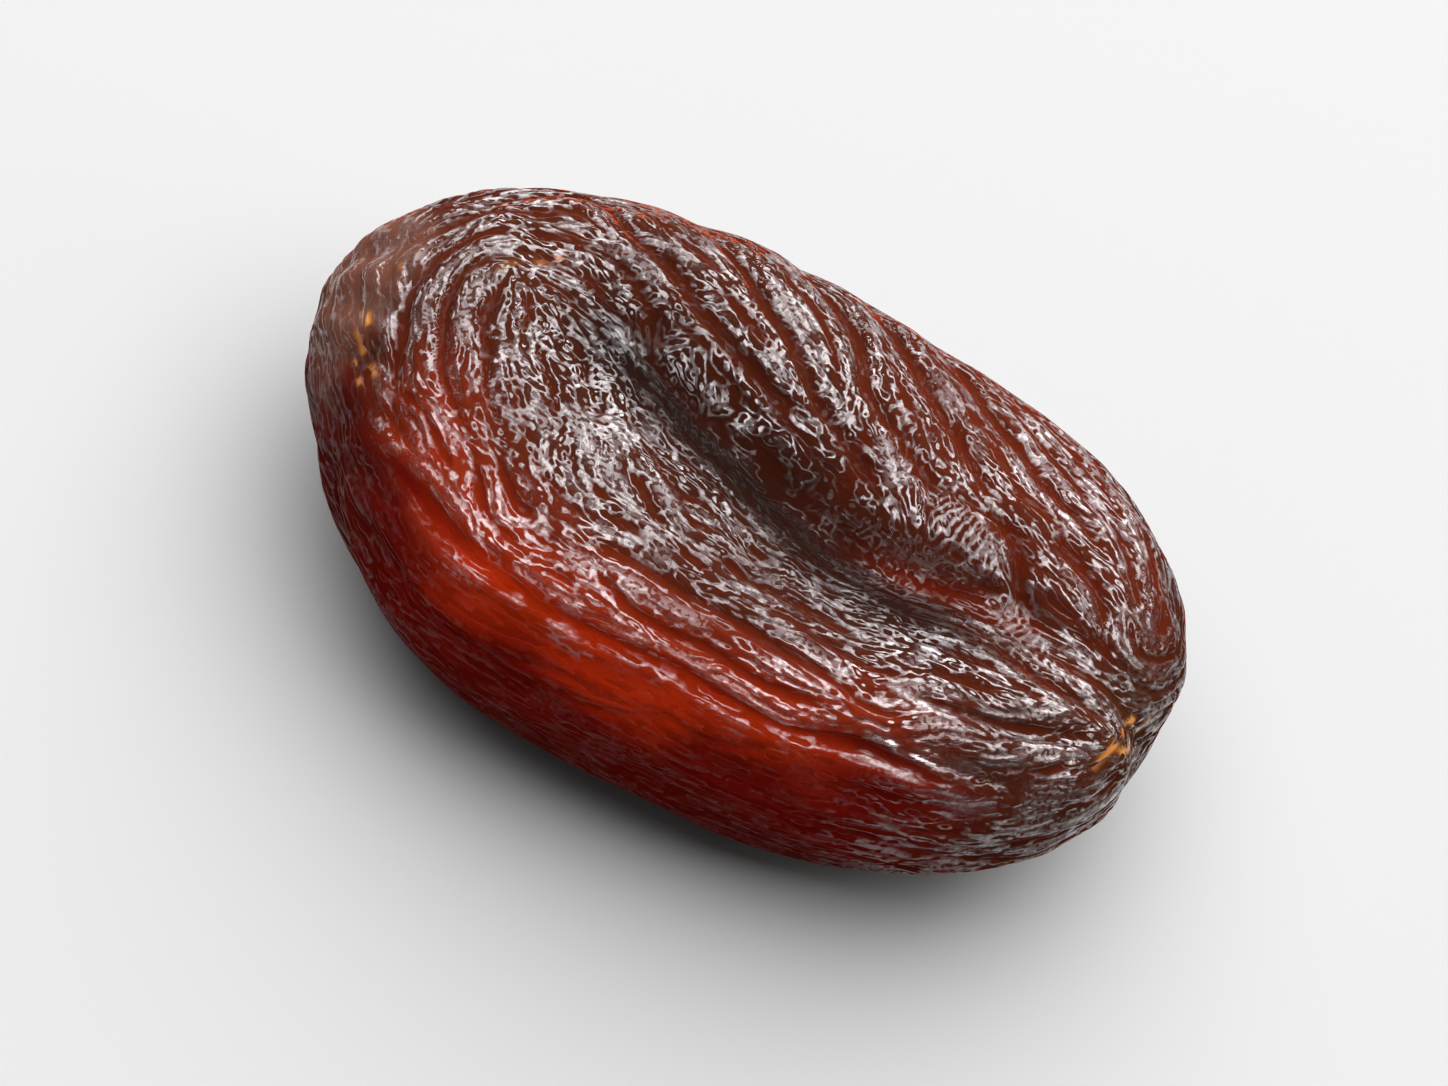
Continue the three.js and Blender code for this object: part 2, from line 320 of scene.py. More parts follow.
def patches(points, kind):
    """Soft patches of one kind over the points, from -1 to 1, that come out the same each time."""
    size, seed = PATCHES[kind]
    draw = np.random.default_rng(seed)
    ways = unit(draw.normal(size=(PATCH_WAVES, 3)))
    lengths = size * draw.uniform(*WAVE_LENGTHS, (PATCH_WAVES, 1))
    starts = draw.uniform(0, 2 * math.pi, PATCH_WAVES)
    waves = ways * 2 * math.pi / lengths
    return np.clip(np.cos(points @ waves.T + starts).sum(axis=1) / WAVE_SUM, -1, 1)


def curve_through(corners, step):
    """Points about `step` apart on the smooth curve through the corners."""
    p = np.array(corners, float)
    p = np.vstack([2 * p[0] - p[1], p, 2 * p[-1] - p[-2]])
    points = []
    for a, b, c, d in zip(p, p[1:], p[2:], p[3:]):
        before, along, after = (math.sqrt(math.dist(m, n)) for m, n in ((a, b), (b, c), (c, d)))
        leave = along * ((b - a) / before - (c - a) / (before + along) + (c - b) / along)
        arrive = along * ((c - b) / along - (d - b) / (along + after) + (d - c) / after)
        for s in np.linspace(0, 1, max(2, math.ceil(math.dist(b, c) / step)), endpoint=False):
            points.append(
                b + leave * s
                + (3 * (c - b) - 2 * leave - arrive) * s ** 2
                + (leave + arrive - 2 * (c - b)) * s ** 3
            )
    points.append(p[-2])
    return np.array(points)


def distance_to(points, corners):
    """How far each point is from the curve through the corners."""
    curve = curve_through(corners, LINE_STEP)
    nearest = np.full(len(points), FAR_FROM_LINE)
    for start, end in zip(curve, curve[1:]):
        run = end - start
        near = np.flatnonzero(np.abs(points - start).max(axis=1) < FAR_FROM_LINE)
        away = points[near] - start
        along = np.clip(away @ run / (run @ run), 0, 1)
        distance = np.linalg.norm(away - along[:, None] * run, axis=1)
        nearest[near] = np.minimum(nearest[near], distance)
    return nearest


def along_lines(points, lines, width):
    """1 on the lines, fading out to either side of them."""
    return np.maximum.reduce([bump(distance_to(points, line), width) for line in lines])


def add_camera():
    camera = bpy.data.objects.new("camera", bpy.data.cameras.new("camera"))
    bpy.context.collection.objects.link(camera)
    tilt = math.radians(ELEVATION)
    roll = math.radians(ROLL)
    away = Vector((0, -math.cos(tilt), math.sin(tilt)))
    level = Vector((1, 0, 0))
    rise = away.cross(level)
    right = math.cos(roll) * level + math.sin(roll) * rise
    up = math.cos(roll) * rise - math.sin(roll) * level
    camera.matrix_world = Matrix.Translation(Vector(AIM) + DISTANCE * away) @ (
        Matrix((right, up, away)).transposed().to_4x4()
    )
    camera.data.lens = LENS
    camera.data.clip_start = NEAR_CLIP
    bpy.context.scene.camera = camera


def add_softbox(name, place, size, watts, tint):
    """A rectangular softbox that faces the fruit."""
    light = bpy.data.lights.new(name, "AREA")
    light.shape = "RECTANGLE"
    light.size, light.size_y = size
    light.energy = watts
    light.color = tint
    softbox = bpy.data.objects.new(name, light)
    bpy.context.collection.objects.link(softbox)
    softbox.location = place
    softbox.rotation_euler = (Vector(place) - Vector(AIM)).to_track_quat("Z", "Y").to_euler()


def add_light():
    for softbox in SOFTBOXES:
        add_softbox(*softbox)
    world = bpy.data.worlds.new("studio")
    world.use_nodes = True
    background = world.node_tree.nodes["Background"]
    background.inputs["Color"].default_value = (1, 1, 1, 1)
    background.inputs["Strength"].default_value = ROOM_LIGHT
    bpy.context.scene.world = world
    bpy.context.scene.view_settings.view_transform = "Standard"


def add_floor():
    bpy.ops.mesh.primitive_plane_add(size=FLOOR_WIDTH, location=(0, 0, -FLOOR_GAP))
    floor = bpy.context.object
    floor.name = "floor"
    paper = bpy.data.materials.new("pale paper")
    paper.use_nodes = True
    shader = paper.node_tree.nodes["Principled BSDF"]
    shader.inputs["Base Color"].default_value = PAPER_COLOUR
    shader.inputs["Roughness"].default_value = PAPER_ROUGHNESS
    floor.data.materials.append(paper)


def places(mesh):
    """The vertices and their normals, in millimetres."""
    points = np.empty(len(mesh.vertices) * 3)
    mesh.vertices.foreach_get("co", points)
    normals = np.empty(len(mesh.vertices) * 3, dtype=np.float32)
    mesh.vertex_normals.foreach_get("vector", normals)
    return points.reshape(-1, 3) / MM, normals.reshape(-1, 3).astype(float)


def press_in(mesh, points, normals, depth):
    """Moves the skin inwards, and never below the surface that the fruit lies on."""
    moved = points - normals * depth[:, None]
    moved[:, 2] = np.maximum(moved[:, 2], 0)
    mesh.vertices.foreach_set("co", (moved * MM).ravel())
    mesh.update()


def store(mesh, name, values):
    """Keeps a value or a vector for each vertex, for the material to read."""
    kind = "FLOAT" if values.ndim == 1 else "FLOAT_VECTOR"
    field = "value" if values.ndim == 1 else "vector"
    held = mesh.attributes.new(name, kind, "POINT")
    held.data.foreach_set(field, values.astype(np.float32).ravel())


def read(mesh, name):
    values = np.empty(len(mesh.vertices), dtype=np.float32)
    mesh.attributes[name].data.foreach_get("value", values)
    return values.astype(float)


def skin_from(node):
    """A copy of the solid's skin with its corners joined and its triangles paired into quads."""
    fruit = bpy.data.objects.new("apricot", node.data.copy())
    bpy.context.collection.objects.link(fruit)
    bpy.ops.object.select_all(action="DESELECT")
    fruit.select_set(True)
    bpy.context.view_layer.objects.active = fruit
    bpy.ops.object.mode_set(mode="EDIT")
    bpy.ops.mesh.select_all(action="SELECT")
    bpy.ops.mesh.remove_doubles(threshold=JOINED_WITHIN * MM)
    bpy.ops.mesh.tris_convert_to_quads(face_threshold=math.pi, shape_threshold=math.pi)
    bpy.ops.mesh.normals_make_consistent(inside=False)
    bpy.ops.object.mode_set(mode="OBJECT")
    fruit.data.materials.clear()
    return fruit


def subdivide(fruit):
    """Splits each face of the skin in four and rounds it."""
    modifier = fruit.modifiers.new("finer skin", "SUBSURF")
    modifier.levels = modifier.render_levels = 1
    bpy.context.view_layer.objects.active = fruit
    bpy.ops.object.modifier_apply(modifier=modifier.name)


class Regions:
    """Where each point of the skin lies on the fruit, and which way the wrinkles run there.

    Most regions are 0 outside and 1 inside. Most numbers given to smooth() are millimetres: in x from
    the blossom end to the scar, in y from the near side to the far one, or in z up from the floor.
    """

    def __init__(self, points, normals):
        self.points = points
        self.x, self.y, self.z = points.T
        self.find_face_and_rim()
        self.find_fans()
        self.find_polished_edges()
        self.find_ends()
        self.find_flow(normals)
        self.find_crease_and_valleys()

    def find_face_and_rim(self):
        above_rim = self.z - RIM_HEIGHT - END_LIFT * (self.x / HALF_LENGTH) ** 2
        self.reach = np.hypot(
            (self.x - FACE_MIDDLE[0]) / FACE_REACH[0], (self.y - FACE_MIDDLE[1]) / FACE_REACH[1]
        )
        self.reach += 0.02 * patches(self.points, "face edge")
        self.on_top = smooth(-0.3, 0.6, above_rim)
        self.face = self.on_top * (1 - smooth(0.93, 1.0, self.reach))
        self.near = smooth(1, -5, self.y)
        self.under = smooth(6.5, 3.0, self.z)
        # 0 where the fruit lies on the floor, and 1 just above it
        self.off_floor = smooth(0.02, 0.4, self.z)
        # the red rim is smooth and clear on the near side only
        self.rim = (1 - self.face) * smooth(1.0, 4.0, self.z) * self.near * smooth(15.5, 8, self.x)
        self.band = along_lines(self.points, [SHOULDER_BAND], BAND_WIDTH)
        self.fold = along_lines(self.points, [SHOULDER_FOLD], BAND_WIDTH)
        self.groove = along_lines(self.points, RIM_GROOVES, GROOVE_WIDTH)

    def find_fans(self):
        """The fans, and a value that grows by 1 from each of their ribs to the next."""
        self.fan = np.zeros(len(self.points))
        self.ribs = np.zeros(len(self.points))
        rough = 0.3 * patches(self.points, "fan edge")
        for (mx, my), (ax, ay), half_length, half_width in FANS:
            along = (self.x - mx) * ax + (self.y - my) * ay
            across = (self.y - my) * ax - (self.x - mx) * ay
            out = np.hypot(along / half_length, across / half_width) + rough
            here = smooth(1.15, 0.85, out) * self.face
            spread = (1 + 0.25 * across / half_width) * along / RIB_SPACING + 0.8 * rough
            self.ribs = np.where(here > self.fan, spread, self.ribs)
            self.fan = np.maximum(self.fan, here)

    def find_polished_edges(self):
        """The long polished edges, and beads: a chain where the face ends, and longer ones on the fold."""
        points = self.points
        flat = points * (1, 1, 0)
        level_lines = [[(a, b, 0) for a, b in line] for line in POLISHED_EDGES]
        beads = patches(points, "beads")
        long_edges = along_lines(flat, level_lines, EDGE_WIDTH) * self.on_top * smooth(-0.9, -0.3, beads)
        chain = bump(distance_to(points, SHOULDER_BAND) - BEADS_FROM_BAND, BEAD_WIDTH)
        chain = chain * smooth(0.97, 0.94, self.reach) * smooth(-0.3, 0.2, beads)
        wavy = points + 0.12 * patches(points, "fold wave")[:, None]
        fold_beads = along_lines(wavy, [SHOULDER_FOLD], BEAD_WIDTH)
        fold_beads = fold_beads * smooth(-0.1, 0.3, patches(points, "fold beads"))
        self.polish = np.maximum(long_edges + chain, fold_beads * smooth(-14, -10, self.x))

    def find_ends(self):
        """The pale tip at the blossom end, the stem scar, and the dry fibres beside both."""
        into_fruit = self.x + 0.3 * np.abs(self.y - 1) + 1.2 * patches(self.points, "tip edge")
        self.tip = smooth(-15.8, -19.0, into_fruit) * smooth(6.5, 8.5, self.z)
        from_scar = np.hypot(self.x - SCAR_MIDDLE[0], self.y - SCAR_MIDDLE[1])
        self.scar = bump(from_scar, SCAR_REACH) * smooth(6, 8, self.z)
        self.fibre = along_lines(self.points, FIBRES, FIBRE_WIDTH)
        self.fibre *= smooth(-0.5, 0.2, patches(self.points, "strands"))

    def find_flow(self, normals):
        """The direction of the wrinkles: along the valleys on the face, and round the fruit elsewhere."""
        points = self.points
        level = np.zeros(len(points))
        self.to_valley = np.full(len(points), FAR_FROM_VALLEY)
        self.valley_share = np.zeros(len(points))
        wander = np.stack([patches(points, "wander along"), patches(points, "wander across")], axis=1)
        plan = points[:, :2] + 0.3 * wander
        # directions are added up at twice their angle, so that opposite ones agree
        twice = np.zeros((len(points), 2))
        valleys = ((DEEP_PULL, DEEP_VALLEYS), (SHALLOW_PULL, SHALLOW_VALLEYS), (CREASE_PULL, [CREASE]))
        for share, paths in valleys:
            for path in paths:
                self.follow(plan, curve_through(path, VALLEY_STEP), share, twice)
        twice[:, 0] += 0.02
        half = np.arctan2(twice[:, 1], twice[:, 0]) / 2 + 0.3 * patches(points, "turns")
        on_face = np.stack([np.cos(half), np.sin(half), level], axis=1)
        on_face = unit(on_face - (on_face * normals).sum(axis=1, keepdims=True) * normals)
        around = np.stack([-normals[:, 1], normals[:, 0], level], axis=1)
        lengthwise = np.array([1.0, 0, 0]) - normals[:, :1] * normals
        facing = np.sign((around * lengthwise).sum(axis=1, keepdims=True) + 1e-9)
        around = unit(around * facing + 0.25 * lengthwise)
        # on the back they wander from side to side
        sideways = 0.45 * self.under * patches(points, "back")
        around = unit(around + sideways[:, None] * np.cross(normals, around))
        facing = np.sign((on_face * around).sum(axis=1, keepdims=True) + 1e-9)
        keep = (self.on_top * (1 - smooth(0.84, 1.0, self.reach)))[:, None]
        self.flow = unit(keep * on_face * facing + (1 - keep) * around)

    def follow(self, plan, curve, share, twice):
        """Adds one valley's direction and distance to the places near it."""
        pieces = len(curve) - 1
        for i in range(pieces):
            run = curve[i + 1] - curve[i]
            length = math.hypot(*run)
            near = np.flatnonzero(np.abs(plan - curve[i]).max(axis=1) < PULL_REACH)
            if not len(near):
                continue
            away = plan[near] - curve[i]
            along = np.clip(away @ run / length ** 2, 0, 1)
            distance = np.linalg.norm(away - along[:, None] * run, axis=1)
            weight = share * bump(distance, PULL_WIDTH) * length
            turn = 2 * math.atan2(run[1], run[0])
            twice[near, 0] += weight * math.cos(turn)
            twice[near, 1] += weight * math.sin(turn)
            # a valley fades out towards both of its ends
            place = (i + 0.5) / pieces
            fade = smooth(0, 0.22, place) * smooth(1, 0.8, place)
            closer = distance < self.to_valley[near]
            self.to_valley[near[closer]] = distance[closer]
            self.valley_share[near[closer]] = share * fade

    def find_crease_and_valleys(self):
        curve = curve_through(CREASE, CREASE_STEP)
        self.past_crease = self.y - np.interp(self.x, curve[:, 0], curve[:, 1])
        self.by_crease = smooth(-13, -8, self.x) * smooth(16, 9, self.x)
        # the steep wall on the far side of the crease
        self.wall = self.face * self.by_crease * smooth(-0.15, 0.15, self.past_crease)
        self.wall *= smooth(0.8, 0.3, self.past_crease + 0.3 * patches(self.points, "crease wall"))
        # a deep valley is a whole channel, and a shallow one breaks up
        channel = bump(self.to_valley, CHANNEL_WIDTH) * self.valley_share
        channel = channel + 0.15 * patches(self.points, "channel ends")
        self.valley = smooth(0.33, 0.6, channel) * self.face


def near_pairs(points, reach):
    """Every pair of places less than `reach` apart: its first, its second, and where each first's start."""
    tree = kdtree.KDTree(len(points))
    for i, point in enumerate(points):
        tree.insert(point, i)
    tree.balance()
    found = [[hit[1] for hit in tree.find_range(point, reach)] for point in points]
    counts = np.fromiter(map(len, found), dtype=np.int64, count=len(found))
    second = np.fromiter((i for row in found for i in row), dtype=np.int32, count=counts.sum())
    first = np.repeat(np.arange(len(points), dtype=np.int32), counts)
    starts = np.concatenate([[0], np.cumsum(counts)[:-1]])
    return first, second, starts


def grow_ridges(points, flow, lean, lead, spacing, seed):
    """Ridges as a drying skin grows them, about -1 in a groove and 1 on a ridge.

    Each place pulls its close neighbours the same way and pushes those half a spacing off the other way,
    so that any start falls into ridges. `lean`, 0 to 1, says how strictly they follow the flow, and `lead`
    where a ridge (above 0) or a groove (below 0) is wanted.
    """
    core = GROWTH["pull"] * spacing
    ring = GROWTH["push"] * core
    first, second, starts = near_pairs(points, GROWTH["felt"] * ring)
    away = (points[second] - points[first]).astype(np.float32)
    along = (away * flow[first]).sum(axis=1)
    across = (away * away).sum(axis=1) - along ** 2
    along = along ** 2
    lean = lean[first]
    core_length = core * (GROWTH["length"] + GROWTH["pull lean"] * lean)
    ring_length = ring * (GROWTH["length"] + GROWTH["push lean"] * lean)
    pull = np.exp(-0.5 * (across / core ** 2 + along / core_length ** 2))
    push = np.exp(-0.5 * (across / ring ** 2 + along / ring_length ** 2))
    pull /= np.add.reduceat(pull, starts)[first]
    push /= np.add.reduceat(push, starts)[first]
    weight = (pull - push).astype(np.float32)
    height = np.random.default_rng(seed).uniform(-1, 1, len(points)).astype(np.float32)
    for _ in range(GROWTH["rounds"]):
        height = np.tanh(GROWTH["sharp"] * np.add.reduceat(weight * height[second], starts) + lead)
    # one even pull at the end rounds the ridges over
    return np.add.reduceat(pull * height[second], starts)


def grow_islands(mesh):
    """Lays out the islands, and lets the skin swell a little over each."""
    points, normals = places(mesh)
    skin = Regions(points, normals)
    lean = ISLANDS["lean"] + ISLANDS["lean on sides"] * (1 - skin.face) * (1 - skin.under)
    lead = 0.6 + 0.3 * patches(points, "island share") + 0.3 * skin.near
    lead -= 2.2 * np.maximum.reduce([skin.valley, skin.band, 0.6 * skin.wall])
    lead += 1.5 * skin.fan + 0.3 * skin.under
    height = grow_ridges(points, skin.flow, lean, lead, ISLANDS["spacing"], ISLANDS["seed"])
    store(mesh, "island", height)
    lively = 0.75 + 0.35 * patches(points, "island swell")
    share = (1 - 0.75 * skin.rim) * skin.off_floor
    press_in(mesh, points, normals, ISLANDS["swell"] * lively * share * (0.5 - 0.5 * height))


def carve(mesh):
    """Cuts the edges of the islands, the clefts of the valleys and the folds of the near shoulder.

    Gives back the islands as they grew, about -1 to 1, and how much of an island each place is, 0 to 1.
    """
    points, normals = places(mesh)
    skin = Regions(points, normals)
    level = read(mesh, "island")
    open_skin = 1 - np.maximum.reduce([skin.valley, skin.band, 0.5 * skin.wall, 0.97 * skin.rim])
    island = smooth(-0.35, 0.1, level) * open_skin
    island = np.maximum(island, 0.9 * skin.fold * smooth(-0.4, 0.2, patches(points, "fold")))
    # a faint trace of the strokes runs over the channels and the rim, a little more of it to the left
    trace = 0.07 + 0.07 * smooth(-8, -14, skin.x)
    island = np.maximum.reduce([island, skin.polish, 0.8 * skin.fan, trace * (1 - skin.band)])
    fall = ISLANDS["depth"] * (1 - island) * (1 - 0.8 * skin.rim)
    fall += CLEFT["depth"] * bump(skin.to_valley, CLEFT["width"]) * skin.valley_share * skin.face
    fall += BAND_DEPTH * skin.band + GROOVE_DEPTH * skin.groove
    fall -= FOLD_HEIGHT * skin.fold * (1 - skin.face)
    press_in(mesh, points, normals, fall * skin.off_floor)
    return level, island


def wrinkle(mesh, level, island):
    """Presses the fine wrinkles into the islands: they follow the islands' edges where they can."""
    points, normals = places(mesh)
    skin = Regions(points, normals)
    lean = WRINKLES["lean"] + WRINKLES["lean on sides"] * (1 - skin.face) * (1 - skin.under)
    edge = bump(level + 0.02, 0.13) * (island > 0.02)
    lead = 0.12 + 1.1 * edge - 1.5 * (1 - smooth(0.0, 0.25, island))
    height = grow_ridges(points, skin.flow, lean, lead, WRINKLES["spacing"], WRINKLES["seed"])
    share = island * (1 - 0.5 * skin.tip)
    lively = 0.8 + 0.35 * patches(points, "wrinkle depth")
    groove = 1 - smooth(-0.6, 0.2, height)
    press_in(mesh, points, normals, WRINKLES["depth"] * share * lively * groove * skin.off_floor)
    return height


class Nodes:
    """Short ways to add and join the nodes of one material."""

    def __init__(self, material):
        self.tree = material.node_tree

    def add(self, kind, **values):
        node = self.tree.nodes.new(kind)
        for name, value in values.items():
            setattr(node, name, value)
        return node

    def join(self, value, socket):
        """Sets a socket to a number or colour, or links it to another node's output."""
        if isinstance(value, bpy.types.NodeSocket):
            self.tree.links.new(value, socket)
        else:
            socket.default_value = value

    def math(self, operation, a, b=0.0, c=0.0):
        node = self.add("ShaderNodeMath", operation=operation)
        for value, socket in zip((a, b, c), node.inputs):
            self.join(value, socket)
        return node.outputs[0]

    def product(self, a, b):
        return self.math("MULTIPLY", a, b)

    def rest_of(self, share):
        """What the share leaves of 1."""
        return self.math("SUBTRACT", 1.0, share)

    def folded(self, value):
        """Folds a growing value up and down between 0 and 1."""
        return self.math("PINGPONG", value, 1.0)

    def between(self, value, low, high, start=0.0, end=1.0):
        """An even rise from start to end as the value goes from low to high."""
        node = self.add("ShaderNodeMapRange", interpolation_type="SMOOTHSTEP")
        for item, socket in zip((value, low, high, start, end), node.inputs):
            self.join(item, socket)
        return node.outputs[0]

    def blend(self, share, a, b):
        """Colour a where the share is 0, and colour b where it is 1."""
        node = self.add("ShaderNodeMix", data_type="RGBA")
        self.join(share, node.inputs["Factor"])
        self.join(a, node.inputs[6])
        self.join(b, node.inputs[7])
        return node.outputs[2]

    def kept(self, name):
        """A value that the mesh keeps for each place."""
        return self.add("ShaderNodeAttribute", attribute_name=name).outputs["Fac"]

    def noise(self, place, scale):
        node = self.add("ShaderNodeTexNoise")
        self.join(place, node.inputs["Vector"])
        node.inputs["Scale"].default_value = scale
        node.inputs["Detail"].default_value = 0.0
        return node.outputs["Fac"]

    def streaks(self, place):
        """Noise drawn out along the wrinkles: the mean of several samples taken a step apart."""
        flow = self.add("ShaderNodeAttribute", attribute_name="flow").outputs["Vector"]
        total = None
        for k in range(-STREAK_STEPS, STREAK_STEPS + 1):
            shifted = self.add("ShaderNodeVectorMath", operation="MULTIPLY_ADD")
            self.join(flow, shifted.inputs[0])
            shifted.inputs[1].default_value = (k * STREAK_STEP,) * 3
            self.join(place, shifted.inputs[2])
            sample = self.noise(shifted.outputs[0], STREAK_SCALE)
            total = sample if total is None else self.math("ADD", total, sample)
        return self.math("DIVIDE", total, 2 * STREAK_STEPS + 1.0)


def linear(red, green, blue):
    """A colour given as it looks on a screen, 0 to 255, in the numbers that the shader works with."""
    shares = (c / 255 for c in (red, green, blue))
    return tuple(((c + 0.055) / 1.055) ** 2.4 if c > 0.04 else c / 12.92 for c in shares) + (1,)


def skin_colour(nodes, streaks):
    """Brown skin, darkened by painted shade beside the crease, red on the rim and redder with a painted
    glow where light comes through the flesh, with a pale tip and golden fibres.
    """
    shade = {name: linear(*colour) for name, colour in COLOURS.items()}
    # dark holds painted shade beside the crease and the darker far side; glow holds a painted glow of light
    # through the flesh
    dark = nodes.kept("dark")
    glow = nodes.kept("glow")
    island = nodes.blend(dark, shade["island"], shade["dark island"])
    island = nodes.blend(glow, island, shade["glowing island"])
    channel = nodes.blend(dark, shade["channel"], shade["dark channel"])
    channel = nodes.blend(glow, channel, shade["glowing channel"])
    colour = nodes.blend(nodes.kept("raised"), channel, island)
    rim = nodes.blend(glow, shade["rim"], shade["glowing rim"])
    rim = nodes.blend(nodes.kept("lit"), rim, shade["lit rim"])
    rim = nodes.blend(nodes.between(streaks, 0.40, 0.48, 0.25, 0.0), rim, shade["rim streak"])
    colour = nodes.blend(nodes.kept("rim"), colour, rim)
    colour = nodes.blend(nodes.kept("tip"), colour, shade["tip"])
    colour = nodes.blend(nodes.kept("scar"), colour, shade["scar"])
    strands = nodes.product(nodes.kept("fibre"), nodes.between(streaks, *STRAND_EDGES))
    return nodes.blend(strands, colour, shade["fibre"])


def skin_gloss(nodes, streaks, grain):
    """How polished the skin is: fine strokes that bend round the ridges, and pads that shine all over."""
    ridge = nodes.kept("ridge")
    fan = nodes.kept("fan")
    swing = nodes.product(nodes.math("SUBTRACT", streaks, 0.5), nodes.kept("coarse"))
    loops = nodes.math("MULTIPLY_ADD", swing, LOOPS["streak"], nodes.product(ridge, LOOPS["ridge"]))
    loops = nodes.math("MULTIPLY_ADD", nodes.kept("island"), LOOPS["level"], loops)
    loops = nodes.math("ADD", loops, LOOPS["shift"])
    strokes = nodes.between(nodes.folded(loops), *STROKE_EDGES)
    # on a fan its ribs take the place of the strokes
    ribs = nodes.product(streaks, RIBS["streak"])
    ribs = nodes.math("MULTIPLY_ADD", nodes.kept("ribs"), RIBS["rise and fall"], ribs)
    ribs = nodes.between(nodes.folded(ribs), *RIB_EDGES)
    strokes = nodes.product(strokes, nodes.rest_of(fan))
    strokes = nodes.math("ADD", strokes, nodes.product(ribs, fan))
    # they are faint in the grooves, and broken up by the grain
    ridge = nodes.math("MAXIMUM", ridge, fan)
    shine = nodes.product(strokes, nodes.between(ridge, 0.3, 0.5, *RIDGE_GLOSS))
    shine = nodes.math("MAXIMUM", shine, nodes.kept("polish"))
    shine = nodes.product(shine, nodes.between(grain, 0.0, 1.0, *GRAIN_GLOSS))
    pads = nodes.product(nodes.kept("pad"), nodes.between(grain, 0.0, 1.0, *PAD_GLOSS))
    shine = nodes.math("MAXIMUM", shine, pads)
    shine = nodes.product(shine, nodes.kept("raised"))
    return nodes.product(shine, nodes.rest_of(nodes.kept("dull")))


def dried_skin():
    skin = bpy.data.materials.new("dried skin")
    skin.use_nodes = True
    nodes = Nodes(skin)
    shader = skin.node_tree.nodes["Principled BSDF"]
    place = nodes.add("ShaderNodeTexCoord").outputs["Object"]
    streaks = nodes.streaks(place)
    grain = nodes.between(nodes.noise(place, GRAIN_SCALE), *GRAIN_EDGES)
    nodes.join(skin_colour(nodes, streaks), shader.inputs["Base Color"])

    gloss = skin_gloss(nodes, streaks, grain)
    roughness = nodes.between(gloss, 0.0, 1.0, DULL_ROUGHNESS, POLISHED_ROUGHNESS)
    nodes.join(roughness, shader.inputs["Roughness"])
    # the plain value holds wherever the skin is shown without its pattern of gloss
    shader.inputs["Specular IOR Level"].default_value = PLAIN_SHINE
    nodes.join(gloss, shader.inputs["Specular IOR Level"])
    nodes.join(gloss, shader.inputs["Coat Weight"])
    shader.inputs["Coat Roughness"].default_value = COAT_ROUGHNESS
    shader.inputs["Coat IOR"].default_value = COAT_IOR

    # fine lines and grain stand out on the islands, and half as much on the rim
    lines = nodes.between(streaks, *LINE_EDGES)
    wrinkled = nodes.math("MAXIMUM", nodes.kept("raised"), nodes.product(nodes.kept("rim"), RIM_SHARE))
    height = nodes.product(nodes.math("MULTIPLY_ADD", grain, GRAIN_SHARE, lines), wrinkled)
    relief = nodes.add("ShaderNodeBump")
    relief.inputs["Strength"].default_value = 1.0
    relief.inputs["Distance"].default_value = LINE_HEIGHT
    nodes.join(height, relief.inputs["Height"])
    nodes.join(relief.outputs[0], shader.inputs["Normal"])

    shader.inputs["Subsurface Weight"].default_value = FLESH_LIGHT
    shader.inputs["Subsurface Radius"].default_value = FLESH_SPREAD
    shader.inputs["Subsurface Scale"].default_value = FLESH_SCALE
    return skin


def glow_in(skin):
    """How much painted glow, of light coming through the red flesh, the skin gets: through the near side,
    most of all just below the shoulder.
    """
    on_face = skin.near * smooth(0.62, 0.96, skin.reach) * smooth(15, 6, skin.x) * smooth(-18, -12, skin.x)
    on_rim = skin.near * smooth(3.0, 8.0, skin.z) * smooth(-17, -10, skin.x) * smooth(17, 9, skin.x)
    # a little of it shows in the far lobe's channels and where the crease runs out to the right
    far = 0.12 * smooth(0, 8, skin.x) * (1 - skin.near)
    run_out = 0.4 * bump(skin.past_crease - 0.4, 0.6) * smooth(4, 8, skin.x) * smooth(15.5, 12.5, skin.x)
    return skin.face * np.maximum.reduce([on_face, far, run_out]) + (1 - skin.face) * on_rim


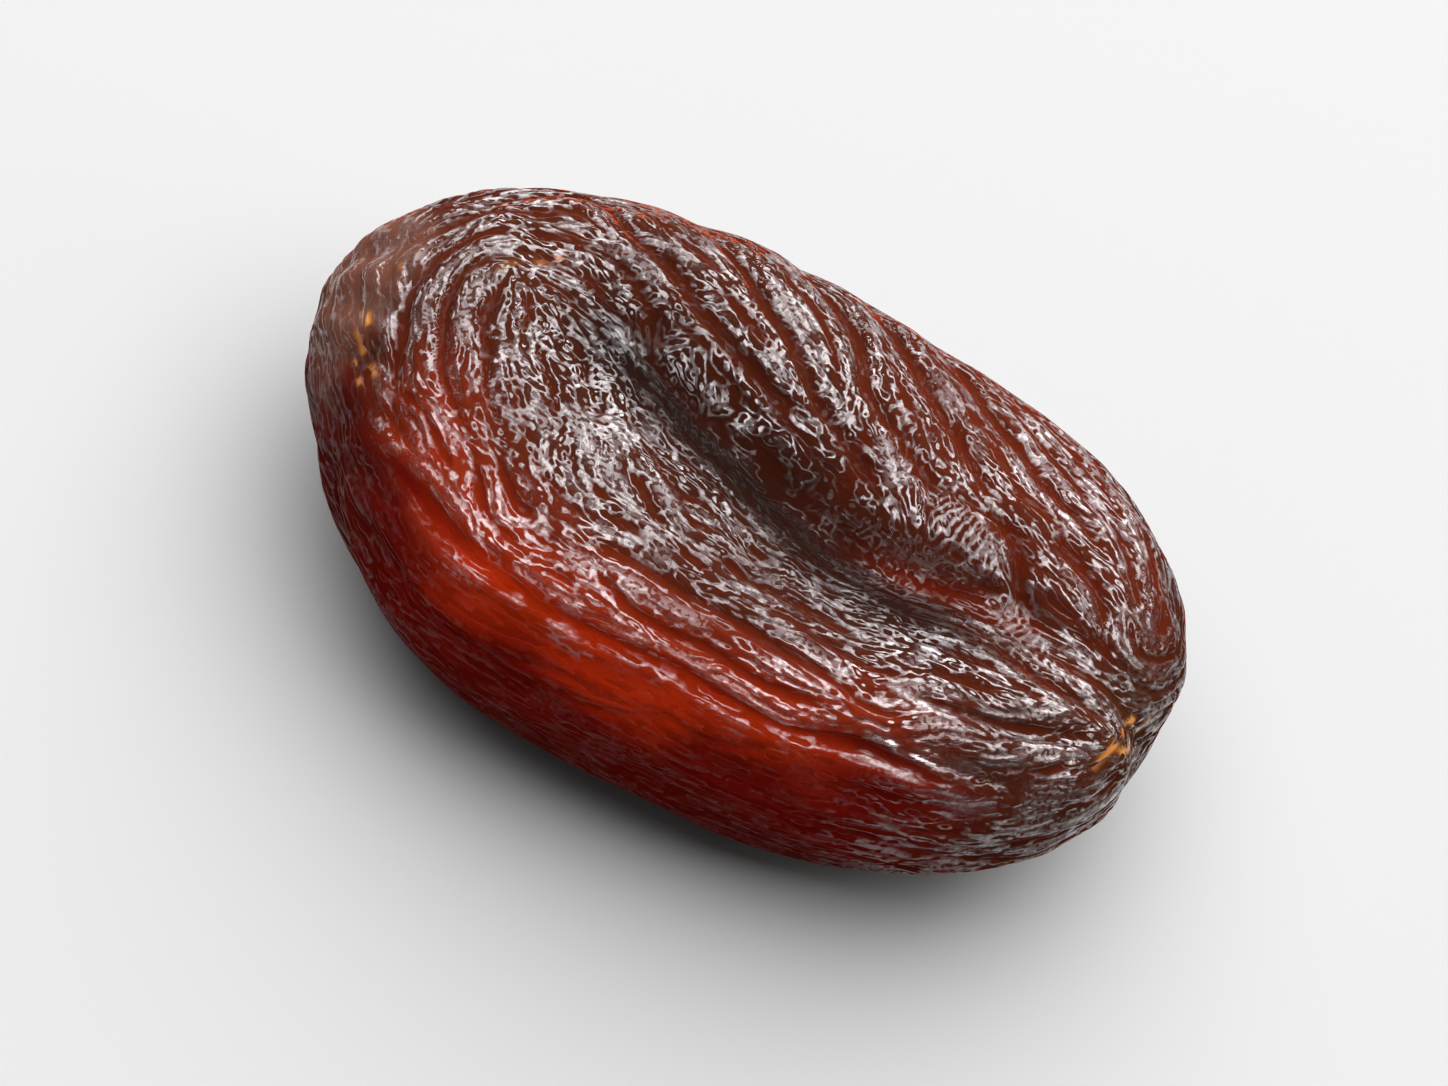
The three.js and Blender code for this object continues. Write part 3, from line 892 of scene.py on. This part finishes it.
def dullness_of(skin):
    """Where the skin has little shine: in cloudy patches, in the dish, and on both sides of the crease."""
    along_dish = (skin.x - DISH_MIDDLE[0]) / DISH_STRETCH
    dish = bump(np.hypot(along_dish, skin.y - DISH_MIDDLE[1]), DISH_REACH)
    in_front = bump(skin.past_crease + 1.6, 1.6) * skin.face * skin.by_crease
    cloudy = 0.12 + 0.3 * patches(skin.points, "clouds") + 0.15 * patches(skin.points, "small clouds")
    # the back, pressed and handled, shines less
    cloudy += 0.35 * skin.under
    return np.clip(0.4 * dish + 0.3 * skin.wall + 0.9 * in_front + cloudy, 0, 0.9)


def keep_for_material(mesh, level, height, island):
    """Keeps what the material reads at each place: the wrinkles, their way, and the parts of the fruit."""
    points, normals = places(mesh)
    skin = Regions(points, normals)
    red = (1 - skin.face) * skin.near * smooth(18, 11, skin.x)
    # painted shade: the skin beside the crease is darkened, standing in for the shade of the crease
    painted_crease_shade = skin.face * skin.by_crease * bump(skin.past_crease + 1.4, 3.0)
    on_far_side = 0.35 * (1 - skin.face) * (1 - skin.near) * (1 - 0.7 * skin.under)
    # light comes through the flesh just below the face
    lit = smooth(8.2, 10.8, skin.z + 0.7 * patches(points, "light edge")) * (1 - skin.face)
    lit = np.maximum(skin.band, lit) * skin.near * smooth(-13, -8, skin.x) * smooth(11, 5, skin.x)
    kept = {
        "flow": skin.flow,
        "ridge": 0.5 + 0.5 * height,
        "raised": island,
        "rim": np.maximum(red, skin.band) * (1 - 0.8 * skin.fold),
        # dark: painted shade beside the crease, and a darker far side
        "dark": np.maximum(painted_crease_shade, on_far_side),
        "glow": glow_in(skin),
        "lit": lit,
        "dull": dullness_of(skin),
        "tip": skin.tip,
        "scar": skin.scar,
        "fibre": skin.fibre,
        "fan": 0.6 * skin.fan,
        "ribs": skin.ribs,
        "polish": skin.polish,
        # in places the strokes are few and broad, in others many and thin
        "coarse": 0.8 + 0.45 * patches(points, "coarse strokes"),
        # the tops of some islands shine all over
        "pad": smooth(0.35, 0.8, level) * smooth(-0.1, 0.35, patches(points, "pads")) * (1 - skin.fan),
    }
    for name, values in kept.items():
        store(mesh, name, values)


def dress_apricot():
    fruit = skin_from(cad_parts["dried_apricot"])
    subdivide(fruit)
    grow_islands(fruit.data)
    subdivide(fruit)
    level, island = carve(fruit.data)
    height = wrinkle(fruit.data, level, island)
    keep_for_material(fruit.data, level, height, island)
    fruit.data.materials.append(dried_skin())
    bpy.ops.object.select_all(action="DESELECT")
    fruit.select_set(True)
    bpy.ops.object.shade_smooth()
    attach(fruit, "root")
    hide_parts("dried_apricot")


add_camera()
add_light()
add_floor()
dress_apricot()
